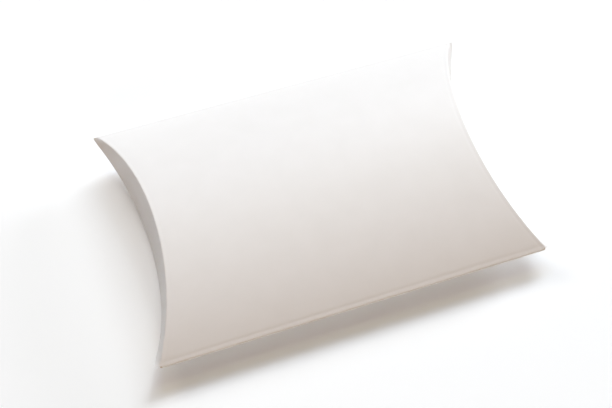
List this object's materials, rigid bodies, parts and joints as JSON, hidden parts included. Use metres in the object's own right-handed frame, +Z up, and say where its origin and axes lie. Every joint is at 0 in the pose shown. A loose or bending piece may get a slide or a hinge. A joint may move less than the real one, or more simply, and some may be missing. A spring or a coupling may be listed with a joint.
{
  "type": "pillow box",
  "caption": "Pillow box of folded white card: curved panels meet at long side folds, and curved hinged flaps tuck over each other to close the ends.",
  "frame": {"origin": "on the table, under the middle of the box", "axes": "+X along the box, +Y across it away from the glued seam, +Z up through the crown of the top panel"},
  "size_m": [0.0996, 0.064, 0.0141],
  "materials": {
    "card_face": "matt uncoated white board, faint tooth",
    "card_fold": "scored and folded white board, slightly burnished",
    "card_inside": "matt uncoated inner side of the board",
    "dried_glue": "dried white glue, satin"
  },
  "bodies": {
    "carton": {"top_panel": "card_face", "bottom_panel": "card_face", "far_side_fold": "card_fold", "near_side_fold": "card_fold", "glue_flap": "card_inside", "glue_line": "dried_glue", "right_top_crease": "card_fold", "right_bottom_crease": "card_fold", "left_top_crease": "card_fold", "left_bottom_crease": "card_fold"},
    "right_outer": {"right_outer_flap": "card_face"},
    "right_inner": {"right_inner_flap": "card_face"},
    "left_outer": {"left_outer_flap": "card_face"},
    "left_inner": {"left_inner_flap": "card_face"}
  },
  "joints": [
    {"name": "right_outer_flap_hinge", "type": "hinge", "parent": "carton", "child": "right_outer", "pos_m": [0.0399, 0, 0.01375], "axis": [0, -1, 0], "range_deg": [0, 100]},
    {"name": "right_inner_flap_hinge", "type": "hinge", "parent": "carton", "child": "right_inner", "pos_m": [0.0399, 0, 0.00025], "axis": [0, 1, 0], "range_deg": [0, 40]},
    {"name": "left_outer_flap_hinge", "type": "hinge", "parent": "carton", "child": "left_outer", "pos_m": [-0.0399, 0, 0.01375], "axis": [0, 1, 0], "range_deg": [0, 100]},
    {"name": "left_inner_flap_hinge", "type": "hinge", "parent": "carton", "child": "left_inner", "pos_m": [-0.0399, 0, 0.00025], "axis": [0, -1, 0], "range_deg": [0, 40]}
  ],
  "couplings": [
    {"joint": "right_inner_flap_hinge", "follows": "right_outer_flap_hinge", "ratio": 0.4},
    {"joint": "left_inner_flap_hinge", "follows": "left_outer_flap_hinge", "ratio": 0.4}
  ]
}
